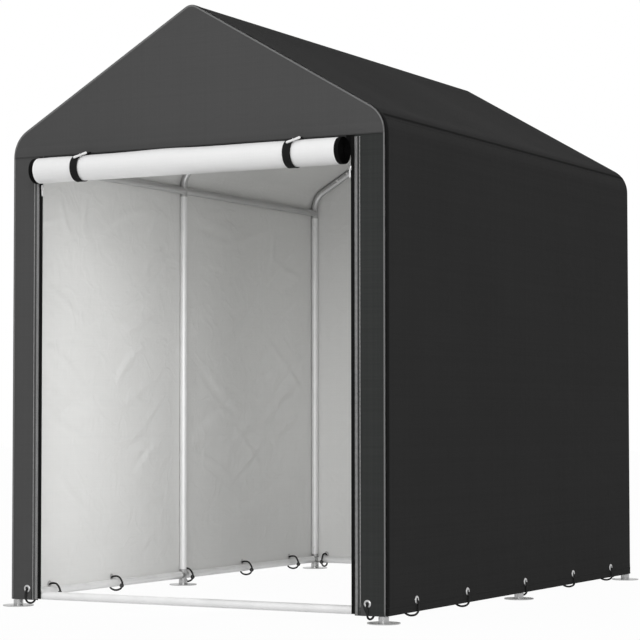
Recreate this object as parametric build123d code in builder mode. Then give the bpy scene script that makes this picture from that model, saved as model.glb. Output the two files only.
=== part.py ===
from build123d import *
from math import acos, atan2, cos, radians, sin, tan
import os

# Portable shelter: a plugged steel tube frame under a fitted cloth cover with a roll-up door.
# X runs across, Y from the door to the back, Z up. The origin is on the ground, in the
# middle of everything that stands on it. All lengths are millimetres.

# Cover, measured over the cloth
cover_width = 1300.0
cover_length = 1940.0
eave_height = 1446.5      # where the planes of wall and roof meet
roof_pitch = 30.0
hem_height = 21.0
cloth = 2.0
eave_radius = 92.0
ridge_radius = 40.0
seam_drop = 2.4           # the gable seam lies this far under the start of the eave bend

# Doorway, zips and rolled door
strip_width = 98.0        # of the cloth between the zip and the corner
zip_width = 12.0
zip_thickness = 1.2
zip_foot = 4.0            # the zip tape stops short of the hem
roll_radius = 40.0
roll_end_gap = 1.0        # from each end of the roll to the doorway's edge
roll_drop = 9.0           # from the gable seam to the top of the roll

# Straps that hold the roll, and the toggles that lie on them
strap_width = 27.0
strap_thickness = 1.6
strap_inset = 168.0       # from the end of the roll to the middle of a strap
strap_tail = 10.0         # reaches up behind the gable
strap_rise = 3.0          # its other end meets the gable this far above the seam
toggle_radius = 4.5
toggle_length = 46.0
toggle_forward = 40.0     # degrees round the roll, from its top towards the front
toggle_shift = 18.0       # toggle centre to the right of its strap
toggle_skew = 34.0        # degrees that its right end is turned up round the roll
soft_gap = 0.3            # between cloth, straps, cords and what they lie on

# Frame
tube_radius = 12.5
tube_wall = 1.2
spigot_gap = 0.15         # between a swaged end and the tube that it plugs into
spigot_length = 35.0
cover_gap = 0.3           # between tube and cloth
stub_collar = 8.0         # welded stubs stand this far out of the tube that carries them
stub_step = 0.2           # and their radius is this much less
bend_end = 30.0           # straight tube past each bend
rail_drop = 15.5          # eave rail under the start of the eave bend
bottom_rail_height = 35.0

# Feet
foot_radius = 47.5
foot_thickness = 3.0
foot_collar_radius = 15.0
foot_collar_gap = 2.0     # between the collar and the hem above it
peg_hole_radius = 4.5
peg_spacing = 70.0

# Cover ties: an elastic loop through an eyelet and round the nearest tube, with its ball inside
tie_radius = 2.5
tie_corner = 5.0          # outside the cloth
tie_inner_corner = 10.0
tie_sag = 5.0             # below the hem
tie_ball_radius = 9.0
eyelet_height = 55.0
eyelet_radius = 12.0
eyelet_washer_radius = 10.0
eyelet_barrel_radius = 6.5
eyelet_hole_radius = 5.2
eyelet_thickness = 1.2
eyelet_gap = 0.1          # between the barrel and the hole in the cloth
side_tie_shares = (0.444, 0.81)     # of a bay's length, counted from the middle frame
back_tie_share = 0.36               # of the width between the corner ties
back_corner_tie_inset = 44.0        # from the leg's centre line
front_tie_share = 0.4               # of a front strip's width, from its zip

# Places that follow from these
pitch = radians(roof_pitch)
bend_share = tan((radians(90.0) - pitch) / 2)
seam_turn = (radians(90.0) - pitch) / 2
half_width = cover_width / 2
door_width = cover_width - 2 * (strip_width + zip_width)
roll_length = door_width - 2 * roll_end_gap
strap_place = roll_length / 2 - strap_inset
seam_height = eave_height - eave_radius * bend_share - seam_drop
tube_inset = cloth + cover_gap + tube_radius
strap_lift = soft_gap + strap_thickness / 2
roll_front = 2 * roll_radius - cloth + soft_gap + strap_thickness
foot_rear = foot_radius - tube_inset
front = (roll_front - foot_rear - cover_length) / 2
back = front + cover_length

leg_x = half_width - tube_inset
frame_y = {"front": front + tube_inset, "rear": back - tube_inset}
frame_y["middle"] = (frame_y["front"] + frame_y["rear"]) / 2
bay_length = frame_y["middle"] - frame_y["front"]
sides = {"left": -1, "right": 1}

bend_radius = eave_radius - tube_inset
ridge_bend_radius = ridge_radius - tube_inset
tube_eave = eave_height + tube_inset * tan(pitch) - tube_inset / cos(pitch)
tube_ridge = tube_eave + leg_x * tan(pitch)
slope_length = leg_x / cos(pitch)
ridge_bend_share = tan(pitch / 2)
eave_rail_height = tube_eave - bend_radius * bend_share - rail_drop
ridge_rail_height = tube_ridge - ridge_bend_radius * (1 / cos(pitch) - 1)
stub_reach = tube_radius + stub_collar
leg_top = eave_rail_height - stub_reach
leg_bottom = bottom_rail_height + stub_reach
spigot_radius = tube_radius - tube_wall - spigot_gap
rafter_start = bend_radius * bend_share + bend_end
rafter_end = slope_length - ridge_bend_radius * ridge_bend_share - bend_end


def save(part, name):
    """Label a finished piece and write its file."""
    part.label = name
    export_step(part, f"parts/{name}.step")


def cross_plane(y):
    """Upright plane across the shelter; its normal points at the door, so -amounts run back."""
    return Plane(origin=(0, y, 0), x_dir=(1, 0, 0), z_dir=(0, -1, 0))


def slope_point(distance, y):
    """Point on a right rafter's centre line, this far up the slope from the eave corner."""
    return Vector(leg_x - distance * cos(pitch), y, tube_eave + distance * sin(pitch))


def straight_tube(start, end):
    """Plain round tube with open ends."""
    run = Vector(end) - Vector(start)
    with BuildPart() as piece:
        with BuildSketch(Plane(origin=start, z_dir=run)):
            Circle(tube_radius)
            Circle(tube_radius - tube_wall, mode=Mode.SUBTRACT)
        extrude(amount=run.length)
    return piece.part


def spigot(start, direction, reach):
    """Stub welded on at start, with a swaged end that plugs into the next tube."""
    base = Plane(origin=start, z_dir=direction)
    with BuildPart() as piece:
        with BuildSketch(base):
            Circle(tube_radius - stub_step)
        extrude(amount=reach)
        with BuildSketch(base):
            Circle(spigot_radius)
        extrude(amount=reach + spigot_length)
    return piece.part


def rail_directions(y):
    """Ways in which rails leave a frame: one from an end frame, both from the middle one."""
    return [way for way in (-1, 1) if frame_y["front"] <= y + way <= frame_y["rear"]]


def bent_tube(start, corner, end, radius, stub_start):
    """Bent connector with a spigot at each end, and stubs along Y for the rails."""
    first = (start - corner).normalized()
    last = (end - corner).normalized()
    with BuildPart() as piece:
        for extra, size in ((0, tube_radius), (spigot_length, spigot_radius)):
            with BuildLine() as path:
                FilletPolyline(start + first * extra, corner, end + last * extra, radius=radius)
            with BuildSketch(Plane(origin=path.line @ 0, z_dir=path.line % 0)):
                Circle(size)
            sweep(path=path.line)
        for way in rail_directions(corner.Y):
            add(spigot(stub_start, (0, way, 0), stub_reach))
    return piece.part


def outline(inset, bottom):
    """The shelter's section above a given height, with rounded eaves and ridge."""
    half = half_width - inset
    eave = eave_height + inset * tan(pitch) - inset / cos(pitch)
    ridge = eave + half * tan(pitch)
    bends = (eave_radius - inset, ridge_radius - inset, eave_radius - inset)
    corners = ((-half, bottom), (-half, eave), (0, ridge), (half, eave), (half, bottom))
    with BuildSketch() as section:
        with BuildLine():
            FilletPolyline(*corners, radius=bends)
            Line((half, bottom), (-half, bottom))
        make_face()
    return section.sketch


def tie(face_point, inward):
    """Elastic loop through an eyelet and round the tube behind it, with its ball inside.

    face_point is on the cloth's outer face, at the eyelet's centre."""
    outer = eyelet_thickness + soft_gap + tie_radius
    inner = cloth + cover_gap + 2 * tube_radius + soft_gap + tie_ball_radius
    low = hem_height - soft_gap - tie_radius - tie_sag - eyelet_height
    across = Vector(inward).cross(Vector(0, 0, 1))
    plane = Plane(origin=face_point, x_dir=inward, z_dir=across)
    ball_drop = bottom_rail_height - eyelet_height
    with BuildPart() as piece:
        with BuildLine(plane) as path:
            FilletPolyline(
                (-outer, 0), (inner, 0), (inner, low), (-outer, low),
                radius=[tie_corner, tie_inner_corner, tie_inner_corner, tie_corner], close=True,
            )
        with BuildSketch(Plane(origin=path.line @ 0, z_dir=path.line % 0)):
            RegularPolygon(radius=tie_radius, side_count=8)
        sweep(path=path.line)
        with Locations(plane.from_local_coords(Vector(inner, ball_drop, 0))):
            Sphere(tie_ball_radius)
    return piece.part


def eyelet(face_point, inward):
    """Metal eyelet: a flange outside, a washer inside and a barrel through the cloth."""
    outside = Plane(origin=face_point, z_dir=inward)
    with BuildPart() as ring:
        with BuildSketch(outside):
            Circle(eyelet_radius)
        extrude(amount=-eyelet_thickness)
        with BuildSketch(outside):
            Circle(eyelet_barrel_radius)
        extrude(amount=cloth)
        with BuildSketch(outside.offset(cloth)):
            Circle(eyelet_washer_radius)
        extrude(amount=eyelet_thickness)
        with BuildSketch(outside.offset(-eyelet_thickness)):
            Circle(eyelet_hole_radius)
        extrude(amount=cloth + 2 * eyelet_thickness, mode=Mode.SUBTRACT)
    return ring.part


def eyelet_holes(places, inward):
    """Cutters for the cloth at each eyelet."""
    with BuildPart() as cutters:
        for place in places:
            with BuildSketch(Plane(origin=place, z_dir=inward)):
                Circle(eyelet_barrel_radius + eyelet_gap)
            extrude(amount=cloth)
    return cutters.part


# Where the cover is tied down, on the outer face of each side
tie_y = [frame_y["middle"] + foot_collar_radius + soft_gap + tie_radius]
for share in side_tie_shares:
    tie_y += [frame_y["middle"] - share * bay_length, frame_y["middle"] + share * bay_length]
front_tie_x = half_width - (1 - front_tie_share) * strip_width
corner_tie_x = leg_x - back_corner_tie_inset
back_tie_x = back_tie_share * corner_tie_x
tie_places = {
    "left": [(-half_width, y, eyelet_height) for y in tie_y],
    "right": [(half_width, y, eyelet_height) for y in tie_y],
    "front": [(x, front, eyelet_height) for x in (-front_tie_x, front_tie_x)],
    "back": [
        (x, back, eyelet_height) for x in (-corner_tie_x, -back_tie_x, back_tie_x, corner_tie_x)
    ],
}
inward = {"left": (1, 0, 0), "right": (-1, 0, 0), "front": (0, 1, 0), "back": (0, -1, 0)}

os.makedirs("parts", exist_ok=True)

# Feet: a pegged disc with a collar, an upright and the stubs of the rails and sills
for frame_name, y in frame_y.items():
    for side_name, side in sides.items():
        x = side * leg_x
        rail_start = (x, y, bottom_rail_height)
        with BuildPart() as foot:
            with BuildSketch():
                with Locations((x, y)):
                    Circle(foot_radius)
                    with GridLocations(0, peg_spacing, 1, 2):
                        Circle(peg_hole_radius, mode=Mode.SUBTRACT)
            extrude(amount=foot_thickness)
            with BuildSketch(Plane.XY.offset(foot_thickness)):
                with Locations((x, y)):
                    Circle(foot_collar_radius)
            extrude(amount=hem_height - foot_collar_gap - foot_thickness)
            with BuildSketch(Plane.XY.offset(foot_thickness)):
                with Locations((x, y)):
                    Circle(tube_radius)
            extrude(amount=leg_bottom - foot_thickness)
            with BuildSketch(Plane.XY.offset(leg_bottom)):
                with Locations((x, y)):
                    Circle(spigot_radius)
            extrude(amount=spigot_length)
            for way in rail_directions(y):
                add(spigot(rail_start, (0, way, 0), stub_reach))
            if frame_name != "middle":
                add(spigot(rail_start, (-side, 0, 0), stub_reach))
        save(foot.part, f"{frame_name}_{side_name}_foot")

# Legs
for frame_name, y in frame_y.items():
    for side_name, side in sides.items():
        with BuildPart() as leg:
            add(straight_tube((side * leg_x, y, leg_bottom), (side * leg_x, y, leg_top)))
        save(leg.part, f"{frame_name}_{side_name}_leg")

# Eave bends, rafters and ridge bend of each frame
for frame_name, y in frame_y.items():
    bend_bottom = Vector(leg_x, y, leg_top)
    eave_corner = Vector(leg_x, y, tube_eave)
    eave_stub = Vector(leg_x, y, eave_rail_height)
    rafter_foot = slope_point(rafter_start, y)
    rafter_head = slope_point(rafter_end, y)
    with BuildPart() as eave_bends:
        add(bent_tube(bend_bottom, eave_corner, rafter_foot, bend_radius, eave_stub))
        mirror(about=Plane.YZ)
    save(eave_bends.part, f"{frame_name}_eave_bends")

    with BuildPart() as rafters:
        add(straight_tube(rafter_foot, rafter_head))
        mirror(about=Plane.YZ)
    save(rafters.part, f"{frame_name}_rafters")

    left_head = Vector(-rafter_head.X, y, rafter_head.Z)
    ridge_corner = Vector(0, y, tube_ridge)
    ridge_stub = Vector(0, y, ridge_rail_height)
    with BuildPart() as ridge_bend:
        add(bent_tube(rafter_head, ridge_corner, left_head, ridge_bend_radius, ridge_stub))
    save(ridge_bend.part, f"{frame_name}_ridge_bend")

# Rails along the shelter, in two lengths from frame to frame
rails = {"ridge_rail": (0, ridge_rail_height)}
for side_name, side in sides.items():
    rails[f"{side_name}_eave_rail"] = (side * leg_x, eave_rail_height)
    rails[f"{side_name}_bottom_rail"] = (side * leg_x, bottom_rail_height)
for rail_name, (x, z) in rails.items():
    with BuildPart() as rail:
        for near, far in (("front", "middle"), ("middle", "rear")):
            near_end = (x, frame_y[near] + stub_reach, z)
            far_end = (x, frame_y[far] - stub_reach, z)
            add(straight_tube(near_end, far_end))
    save(rail.part, rail_name)

# Sills across the doorway and the back
for frame_name in ("front", "rear"):
    reach = leg_x - stub_reach
    with BuildPart() as sill:
        add(
            straight_tube(
                (-reach, frame_y[frame_name], bottom_rail_height),
                (reach, frame_y[frame_name], bottom_rail_height),
            )
        )
    save(sill.part, f"{frame_name}_sill")

# Walls and roof of the cover. They are sewn together along the middle of the rounded eaves.
with BuildPart() as cover_band:
    with BuildSketch(cross_plane(front + cloth)):
        add(outline(0, hem_height))
        add(outline(cloth, hem_height), mode=Mode.SUBTRACT)
    extrude(amount=-(cover_length - 2 * cloth))

seam_planes = {}
for side_name, side in sides.items():
    bend_centre = (side * (half_width - eave_radius), 0, eave_height - eave_radius * bend_share)
    seam_planes[side_name] = Plane(
        origin=bend_centre, x_dir=(0, 1, 0), z_dir=(-side * sin(seam_turn), 0, cos(seam_turn))
    )
    with BuildPart() as wall:
        add(cover_band.part)
        split(bisect_by=seam_planes[side_name], keep=Keep.BOTTOM)
        split(bisect_by=Plane.YZ, keep=Keep.TOP if side > 0 else Keep.BOTTOM)
        add(eyelet_holes(tie_places[side_name], inward[side_name]), mode=Mode.SUBTRACT)
    save(wall.part, f"{side_name}_wall")

with BuildPart() as roof_cover:
    add(cover_band.part)
    for seam_plane in seam_planes.values():
        split(bisect_by=seam_plane, keep=Keep.TOP)
save(roof_cover.part, "roof_cover")

# Back wall and front gable, cut to the same section
with BuildPart() as back_wall:
    with BuildSketch(cross_plane(back - cloth)):
        add(outline(0, hem_height))
    extrude(amount=-cloth)
    add(eyelet_holes(tie_places["back"], inward["back"]), mode=Mode.SUBTRACT)
save(back_wall.part, "back_wall")

with BuildPart() as front_gable:
    with BuildSketch(cross_plane(front)):
        add(outline(0, seam_height))
    extrude(amount=-cloth)
save(front_gable.part, "front_gable")

# Strips beside the doorway, each with its zip tape along the inner edge
for side_name, side in sides.items():
    place = tie_places["front"][(side + 1) // 2]
    with BuildPart() as strip:
        with BuildSketch(cross_plane(front)):
            with Locations((side * (half_width - strip_width / 2), (hem_height + seam_height) / 2)):
                Rectangle(strip_width, seam_height - hem_height)
        extrude(amount=-cloth)
        add(eyelet_holes([place], inward["front"]), mode=Mode.SUBTRACT)
    save(strip.part, f"{side_name}_front_strip")

    zip_bottom = hem_height + zip_foot
    with BuildPart() as zip_tape:
        with BuildSketch(cross_plane(front)):
            with Locations((side * (door_width + zip_width) / 2, (zip_bottom + seam_height) / 2)):
                Rectangle(zip_width, seam_height - zip_bottom)
        extrude(amount=-zip_thickness)
    save(zip_tape.part, f"{side_name}_zip_tape")

# Rolled door: the roll hangs straight down from the gable seam by its last turn
roll_y = front + cloth - roll_radius
roll_z = seam_height - roll_drop - roll_radius
roll_centre = Vector(roll_y, roll_z)
roll_plane = Plane(origin=(-roll_length / 2, 0, 0), x_dir=(0, 1, 0), z_dir=(1, 0, 0))
with BuildPart() as door_roll:
    with BuildSketch(roll_plane):
        with Locations((roll_y, roll_z)):
            Circle(roll_radius)
        with Locations((front + cloth / 2, (roll_z + seam_height) / 2)):
            Rectangle(cloth, seam_height - roll_z)
    extrude(amount=roll_length)
save(door_roll.part, "door_roll")

# Straps: sewn behind the seam, down behind the last turn, round the roll and back to the gable
strap_bend = roll_radius + strap_lift
strap_end = Vector(front - strap_lift, seam_height + strap_rise)
to_end = strap_end - roll_centre
end_angle = atan2(to_end.Y, to_end.X) + acos(strap_bend / to_end.length)
strap_leaves = roll_centre + Vector(cos(end_angle), sin(end_angle)) * strap_bend
strap_meets = roll_centre + Vector(strap_bend, 0)
strap_top = Vector(strap_meets.X, seam_height + strap_tail)
strap_under = roll_centre + Vector(-1, -1).normalized() * strap_bend
with BuildPart() as door_straps:
    for side in sides.values():
        strap_points = [
            Vector(side * strap_place, point.X, point.Y)
            for point in (strap_top, strap_meets, strap_under, strap_leaves, strap_end)
        ]
        with BuildLine() as path:
            Line(strap_points[0], strap_points[1])
            ThreePointArc(*strap_points[1:4])
            Line(strap_points[3], strap_points[4])
        with BuildSketch(Plane(origin=path.line @ 0, x_dir=(1, 0, 0), z_dir=path.line % 0)):
            Rectangle(strap_width, strap_thickness)
        sweep(path=path.line)
save(door_straps.part, "door_straps")

# Toggles: bars that lie askew on the straps, where these come over the front of the roll
forward, skew = radians(toggle_forward), radians(toggle_skew)
toggle_seat = strap_bend + strap_lift + toggle_radius
toggle_y = roll_y - toggle_seat * sin(forward)
toggle_z = roll_z + toggle_seat * cos(forward)
toggle_way = (cos(skew), sin(skew) * cos(forward), sin(skew) * sin(forward))
with BuildPart() as door_toggles:
    for side in sides.values():
        centre = (side * strap_place + toggle_shift, toggle_y, toggle_z)
        with BuildSketch(Plane(origin=centre, z_dir=toggle_way)):
            Circle(toggle_radius)
        extrude(amount=toggle_length / 2, both=True)
save(door_toggles.part, "door_toggles")

# Ties and eyelets of each side
for place_name, places in tie_places.items():
    with BuildPart() as ties:
        for place in places:
            add(tie(place, inward[place_name]))
    save(ties.part, f"{place_name}_ties")
with BuildPart() as eyelets:
    for place_name, places in tie_places.items():
        for place in places:
            add(eyelet(place, inward[place_name]))
save(eyelets.part, "eyelets")
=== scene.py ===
# %% [markdown]
# # A portable shelter, dressed around its fixed frame
#
# The shelter is a plugged steel tube frame under a fitted cloth cover, with its door rolled up.
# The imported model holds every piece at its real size, and this lesson gives each piece its looks:
# cloth with folds and a weave, a door that is really rolled, elastic ties, eyelets and steel.
# Lengths are metres. X runs across, Y from the door to the back, and Z up.

# %% Load the fixed frame
import math

import bmesh
import bpy
import numpy as np
from mathutils import Matrix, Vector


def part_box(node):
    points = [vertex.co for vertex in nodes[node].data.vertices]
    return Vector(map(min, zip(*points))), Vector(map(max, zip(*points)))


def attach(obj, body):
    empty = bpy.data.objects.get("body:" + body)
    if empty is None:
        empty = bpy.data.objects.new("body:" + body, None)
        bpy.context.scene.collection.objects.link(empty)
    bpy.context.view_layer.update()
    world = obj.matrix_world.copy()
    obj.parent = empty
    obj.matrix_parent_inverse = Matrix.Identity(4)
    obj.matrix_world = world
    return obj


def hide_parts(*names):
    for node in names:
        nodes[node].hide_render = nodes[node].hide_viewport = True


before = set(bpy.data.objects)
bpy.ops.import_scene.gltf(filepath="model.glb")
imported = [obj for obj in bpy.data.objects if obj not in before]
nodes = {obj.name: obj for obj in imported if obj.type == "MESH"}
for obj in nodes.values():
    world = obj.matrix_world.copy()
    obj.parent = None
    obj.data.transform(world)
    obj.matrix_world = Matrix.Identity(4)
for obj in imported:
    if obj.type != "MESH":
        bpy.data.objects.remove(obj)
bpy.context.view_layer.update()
print("pieces in the frame:", len(nodes))

# %% [markdown]
# Every size below comes from a piece of the frame, so the looks follow it when it changes.
# Only what a box can't tell, such as the pitch of the roof, is written as a number.

# %% Read the places from the frame
gable_low, gable_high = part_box("front_gable")
wall_low, wall_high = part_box("right_wall")
half_width = wall_high.x
front, back = gable_low.y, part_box("back_wall")[1].y
hem, seam, ridge_top = wall_low.z, gable_low.z, gable_high.z

eave_height = 1.4465       # where the planes of wall and roof meet
roof_pitch = math.radians(30.0)
eave_radius = 0.092
ridge_radius = 0.040


def middle(node):
    """Centre of a node's box."""
    low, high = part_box(node)
    return (low + high) / 2


leg_x = middle("front_right_leg").x
frame_y = [middle(name + "_right_leg").y for name in ("front", "middle", "rear")]
bottom_rail_z = middle("right_bottom_rail").z
eave_rail_z = middle("right_eave_rail").z
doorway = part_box("right_zip_tape")[0].x
strip_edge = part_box("right_front_strip")[0].x
print(f"cover {2 * half_width:.2f} m wide, {back - front:.2f} m deep, {ridge_top:.2f} m high")

# %% [markdown]
# ## Meshes from formulas
#
# A piece is one or more patches. A patch is a grid of points, worked out for two parameters at
# once, with a UV in metres so that a weave keeps its real size on any piece. Patches could be
# modelled by hand, but a formula keeps a fold, a hem and a seam editable as numbers.


# %% A patch from a grid of points
def joined(*parts):
    """One grid of points or UVs from its coordinates, which may be rows, columns or numbers."""
    return np.stack(np.broadcast_arrays(*parts), -1)


def patch(points, uv=None, wrap=(False, False), finish=0):
    """Faces that join each point of a grid to its neighbours, going round where wrap says so."""
    rows, columns = points.shape[:2]
    corner = np.arange(rows * columns).reshape(rows, columns)
    if wrap[0]:
        corner = np.vstack([corner, corner[:1]])
    if wrap[1]:
        corner = np.hstack([corner, corner[:, :1]])
    quads = np.stack([corner[:-1, :-1], corner[1:, :-1], corner[1:, 1:], corner[:-1, 1:]], -1)
    if uv is None:
        uv = np.zeros((rows, columns, 2))
    finishes = np.broadcast_to(finish, quads.shape[:2]).reshape(-1)
    return points.reshape(-1, 3), quads.reshape(-1, 4), uv.reshape(-1, 2), finishes


def make_piece(name, patches, finishes, closed=True):
    """One object from several patches, with their UVs, finishes and smooth faces."""
    counts = np.cumsum([0] + [len(part[0]) for part in patches])
    points = np.vstack([part[0] for part in patches])
    quads = np.vstack([part[1] + start for part, start in zip(patches, counts)])
    uv = np.vstack([part[2] for part in patches])
    mesh = bpy.data.meshes.new(name)
    mesh.from_pydata(points, [], quads)
    layer = mesh.uv_layers.new(name="Cloth")
    layer.data.foreach_set("uv", uv[quads.reshape(-1)].astype(np.float32).reshape(-1))
    mesh.polygons.foreach_set("material_index", np.concatenate([part[3] for part in patches]))
    mesh.polygons.foreach_set("use_smooth", np.ones(len(quads), bool))
    for finish in finishes:
        mesh.materials.append(finish)
    if closed:
        shell = bmesh.new()
        shell.from_mesh(mesh)
        bmesh.ops.remove_doubles(shell, verts=shell.verts, dist=1e-6)
        bmesh.ops.dissolve_degenerate(shell, edges=shell.edges, dist=1e-7)
        bmesh.ops.recalc_face_normals(shell, faces=shell.faces)
        shell.to_mesh(mesh)
        shell.free()
    piece = bpy.data.objects.new(name, mesh)
    bpy.context.scene.collection.objects.link(piece)
    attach(piece, "root")
    print(f"{name}: {len(mesh.polygons)} faces")
    return piece


# %% [markdown]
# The cover's section, the rolls and the loops are lines first. A line's straight runs are joined
# by true arcs, so a bend keeps the radius of the tube below it at any number of points.


# %% Lines made of straight runs and arcs
def rounded_path(corners, radii, step):
    """Points along straight runs joined by arcs of the given radii.

    An arc starts radius times tan(half the turn) before its corner, and its centre lies on the
    line that halves the corner, radius / cos(half the turn) away from it."""
    corners = [np.array(corner, float) for corner in corners]
    line = [corners[0]]
    for before, corner, after, radius in zip(corners, corners[1:], corners[2:], radii):
        back_way = (before - corner) / np.linalg.norm(before - corner)
        on_way = (after - corner) / np.linalg.norm(after - corner)
        half_turn = (math.pi - math.acos(np.clip(back_way @ on_way, -1, 1))) / 2
        halving = (back_way + on_way) / np.linalg.norm(back_way + on_way)
        centre = corner + halving * radius / math.cos(half_turn)
        share = np.linspace(0, 1, max(4, math.ceil(math.degrees(half_turn) / 3)))[:, None]
        chord = (1 - share) * back_way + share * on_way
        spoke = corner + chord * radius * math.tan(half_turn) - centre
        line.extend(centre + radius * spoke / np.linalg.norm(spoke, axis=1)[:, None])
    line.append(corners[-1])
    return resampled(np.array(line), step)


def lengths_along(line):
    """Distance of each point from the start, along the line."""
    return np.concatenate([[0], np.cumsum(np.linalg.norm(np.diff(line, axis=0), axis=1))])


def headings(line):
    """Unit direction of travel at each point of a line."""
    way = np.gradient(line, axis=0)
    return way / np.linalg.norm(way, axis=1)[:, None]


def full_turn(count):
    """Evenly spaced angles once round, without the last that would repeat the first."""
    return np.linspace(0, 2 * math.pi, count, endpoint=False)


def resampled(line, step):
    """The same line with evenly spaced points."""
    along = lengths_along(line)
    even = np.linspace(0, along[-1], max(2, math.ceil(along[-1] / step) + 1))
    return np.stack([np.interp(even, along, line[:, i]) for i in range(line.shape[1])], -1)


# %% [markdown]
# Two skins cover most of the small pieces: one is carried along a line, as on piping or elastic,
# and one is turned about an axis, as on a bolt head, a ball or an eyelet. Both give a patch.


# %% Skins along a line and round an axis
def tube(line, radius, sides=10, flat=None, closed=False, finish=0, across=(0, 1, 0)):
    """Skin round a line that lies in a plane: centre + radius * (cos a * normal + sin a * across).

    radius may be one number for each point, and flat squashes the skin along across."""
    along = lengths_along(line)
    heading = headings(np.vstack([line[-1:], line, line[:1]]))[1:-1] if closed else headings(line)
    across = np.array(across, float)
    normal = np.cross(across, heading)
    normal /= np.linalg.norm(normal, axis=1)[:, None]
    turn = full_turn(sides)
    radius = np.broadcast_to(radius, len(line))[:, None, None]
    around = (np.cos(turn)[None, :, None] * normal[:, None, :]
              + (flat or 1) * np.sin(turn)[None, :, None] * across)
    uv = joined(along[:, None], turn * radius[:, :, 0])
    return patch(line[:, None, :] + radius * around, uv, (closed, True), finish)


def turned(profile, centre, axis, sides=24, finish=0):
    """Round piece: each point (r, h) of a profile is turned about an axis through centre."""
    axis = np.array(axis, float)
    first = np.cross(axis, (0.0, 0.0, 1.0) if abs(axis[2]) < 0.9 else (1.0, 0.0, 0.0))
    first /= np.linalg.norm(first)
    second = np.cross(axis, first)
    turn = full_turn(sides)
    spokes = np.cos(turn)[:, None] * first + np.sin(turn)[:, None] * second
    profile = np.array(profile, float)
    points = (np.array(centre, float) + profile[:, None, :1] * spokes[None]
              + profile[:, None, 1:] * axis)
    along = lengths_along(profile)
    uv = joined(along[:, None], turn * profile[:, :1])
    return patch(points, uv, (False, True), finish)


# %% [markdown]
# ## The camera
#
# It stands six and a half metres away and looks past the right front corner with a long lens,
# so the upright edges stay nearly parallel. Its place was found from the cover's straight edges.

# %% Stand the camera
camera_place = (3.4315, -6.4255, 0.5786)
camera_turn = math.radians(28.641)
camera_rise = math.radians(2.596)
camera_roll = math.radians(-0.043)
lens_pixels = 2172.97
picture_width = 640.0

lens = bpy.data.cameras.new("photo_camera")
lens.sensor_width = 36.0
lens.lens = lens_pixels / picture_width * lens.sensor_width
lens.clip_end = 60.0
camera = bpy.data.objects.new("photo_camera", lens)
camera.matrix_world = (
    Matrix.Translation(camera_place)
    @ Matrix.Rotation(camera_turn, 4, "Z")
    @ Matrix.Rotation(math.pi / 2 + camera_rise, 4, "X")
    @ Matrix.Rotation(camera_roll, 4, "Z")
)
bpy.context.scene.collection.objects.link(camera)
bpy.context.scene.camera = camera
bpy.context.scene.view_settings.view_transform = "Standard"
print(f"lens {lens.lens:.1f} mm")

# %% [markdown]
# ## Finishes
#
# A finish is a small tree of shader nodes. One helper adds a node and sets or links its inputs,
# so each finish reads as a list of what it is made of.


# %% Helpers for shader trees
def add_node(tree, kind, inputs=None, **settings):
    """Adds a node. An input given as a socket is linked, and any other value is set."""
    made = tree.nodes.new(kind)
    for key, value in settings.items():
        setattr(made, key, value)
    for key, value in (inputs or {}).items():
        socket = made.inputs[key]
        if isinstance(value, bpy.types.NodeSocket):
            tree.links.new(value, socket)
        else:
            socket.default_value = value
    return made


def number(tree, operation, *values):
    """One arithmetic step, with its result."""
    return add_node(tree, "ShaderNodeMath", dict(enumerate(values)), operation=operation).outputs[0]


def weighted(tree, *pairs):
    """Sum of values, each times its own weight."""
    total = 0.0
    for value, weight in pairs:
        total = number(tree, "MULTIPLY_ADD", value, weight, total)
    return total


def faded(tree, value, low, high, start=0.0, end=1.0):
    """A value carried from the range low..high to start..end, and held there."""
    inputs = {"Value": value, "From Min": low, "From Max": high, "To Min": start, "To Max": end}
    return add_node(tree, "ShaderNodeMapRange", inputs, clamp=True).outputs["Result"]


def noise(tree, place, scale, detail=2.0, distortion=0.0):
    """Value of soft noise at a place, between about 0.2 and 0.8."""
    inputs = {"Vector": place, "Scale": scale, "Detail": detail, "Distortion": distortion}
    return add_node(tree, "ShaderNodeTexNoise", inputs).outputs[0]


def middle_distance(tree, value):
    """How far noise is from its middle value: small along thin winding lines."""
    return number(tree, "ABSOLUTE", number(tree, "SUBTRACT", value, 0.5))


def cloth_place(tree):
    """Place on the cloth: the piece's own UV, in metres."""
    return add_node(tree, "ShaderNodeUVMap", uv_map="Cloth").outputs["UV"]


def object_place(tree):
    """Place in the shelter: the piece's Object coordinates, in metres."""
    return add_node(tree, "ShaderNodeTexCoord").outputs["Object"]


def new_group(name, inputs, outputs):
    """Empty shader node group with named number, vector or colour sockets."""
    kinds = {"number": "NodeSocketFloat", "vector": "NodeSocketVector", "colour": "NodeSocketColor"}
    group = bpy.data.node_groups.new(name, "ShaderNodeTree")
    for label, kind in inputs.items():
        group.interface.new_socket(label, in_out="INPUT", socket_type=kinds[kind])
    for label, kind in outputs.items():
        group.interface.new_socket(label, in_out="OUTPUT", socket_type=kinds[kind])
    return group, group.nodes.new("NodeGroupInput").outputs, group.nodes.new("NodeGroupOutput").inputs


def place_group(tree, group, inputs):
    """Places a node group in a finish, with that finish's own values."""
    return add_node(tree, "ShaderNodeGroup", inputs, node_tree=group).outputs


def new_finish(name, **constants):
    """Material with a Principled shader whose constant sockets are set by name."""
    finish = bpy.data.materials.new(name)
    finish.use_nodes = True
    shader = finish.node_tree.nodes["Principled BSDF"]
    for key, value in constants.items():
        shader.inputs[key.replace("_", " ").title().replace("Ior", "IOR")].default_value = value
    return finish, finish.node_tree, shader


def feed(tree, shader, **values):
    """Links values that change over the surface to the shader's sockets, by name."""
    for key, value in values.items():
        tree.links.new(value, shader.inputs[key.replace("_", " ").title()])


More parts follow.
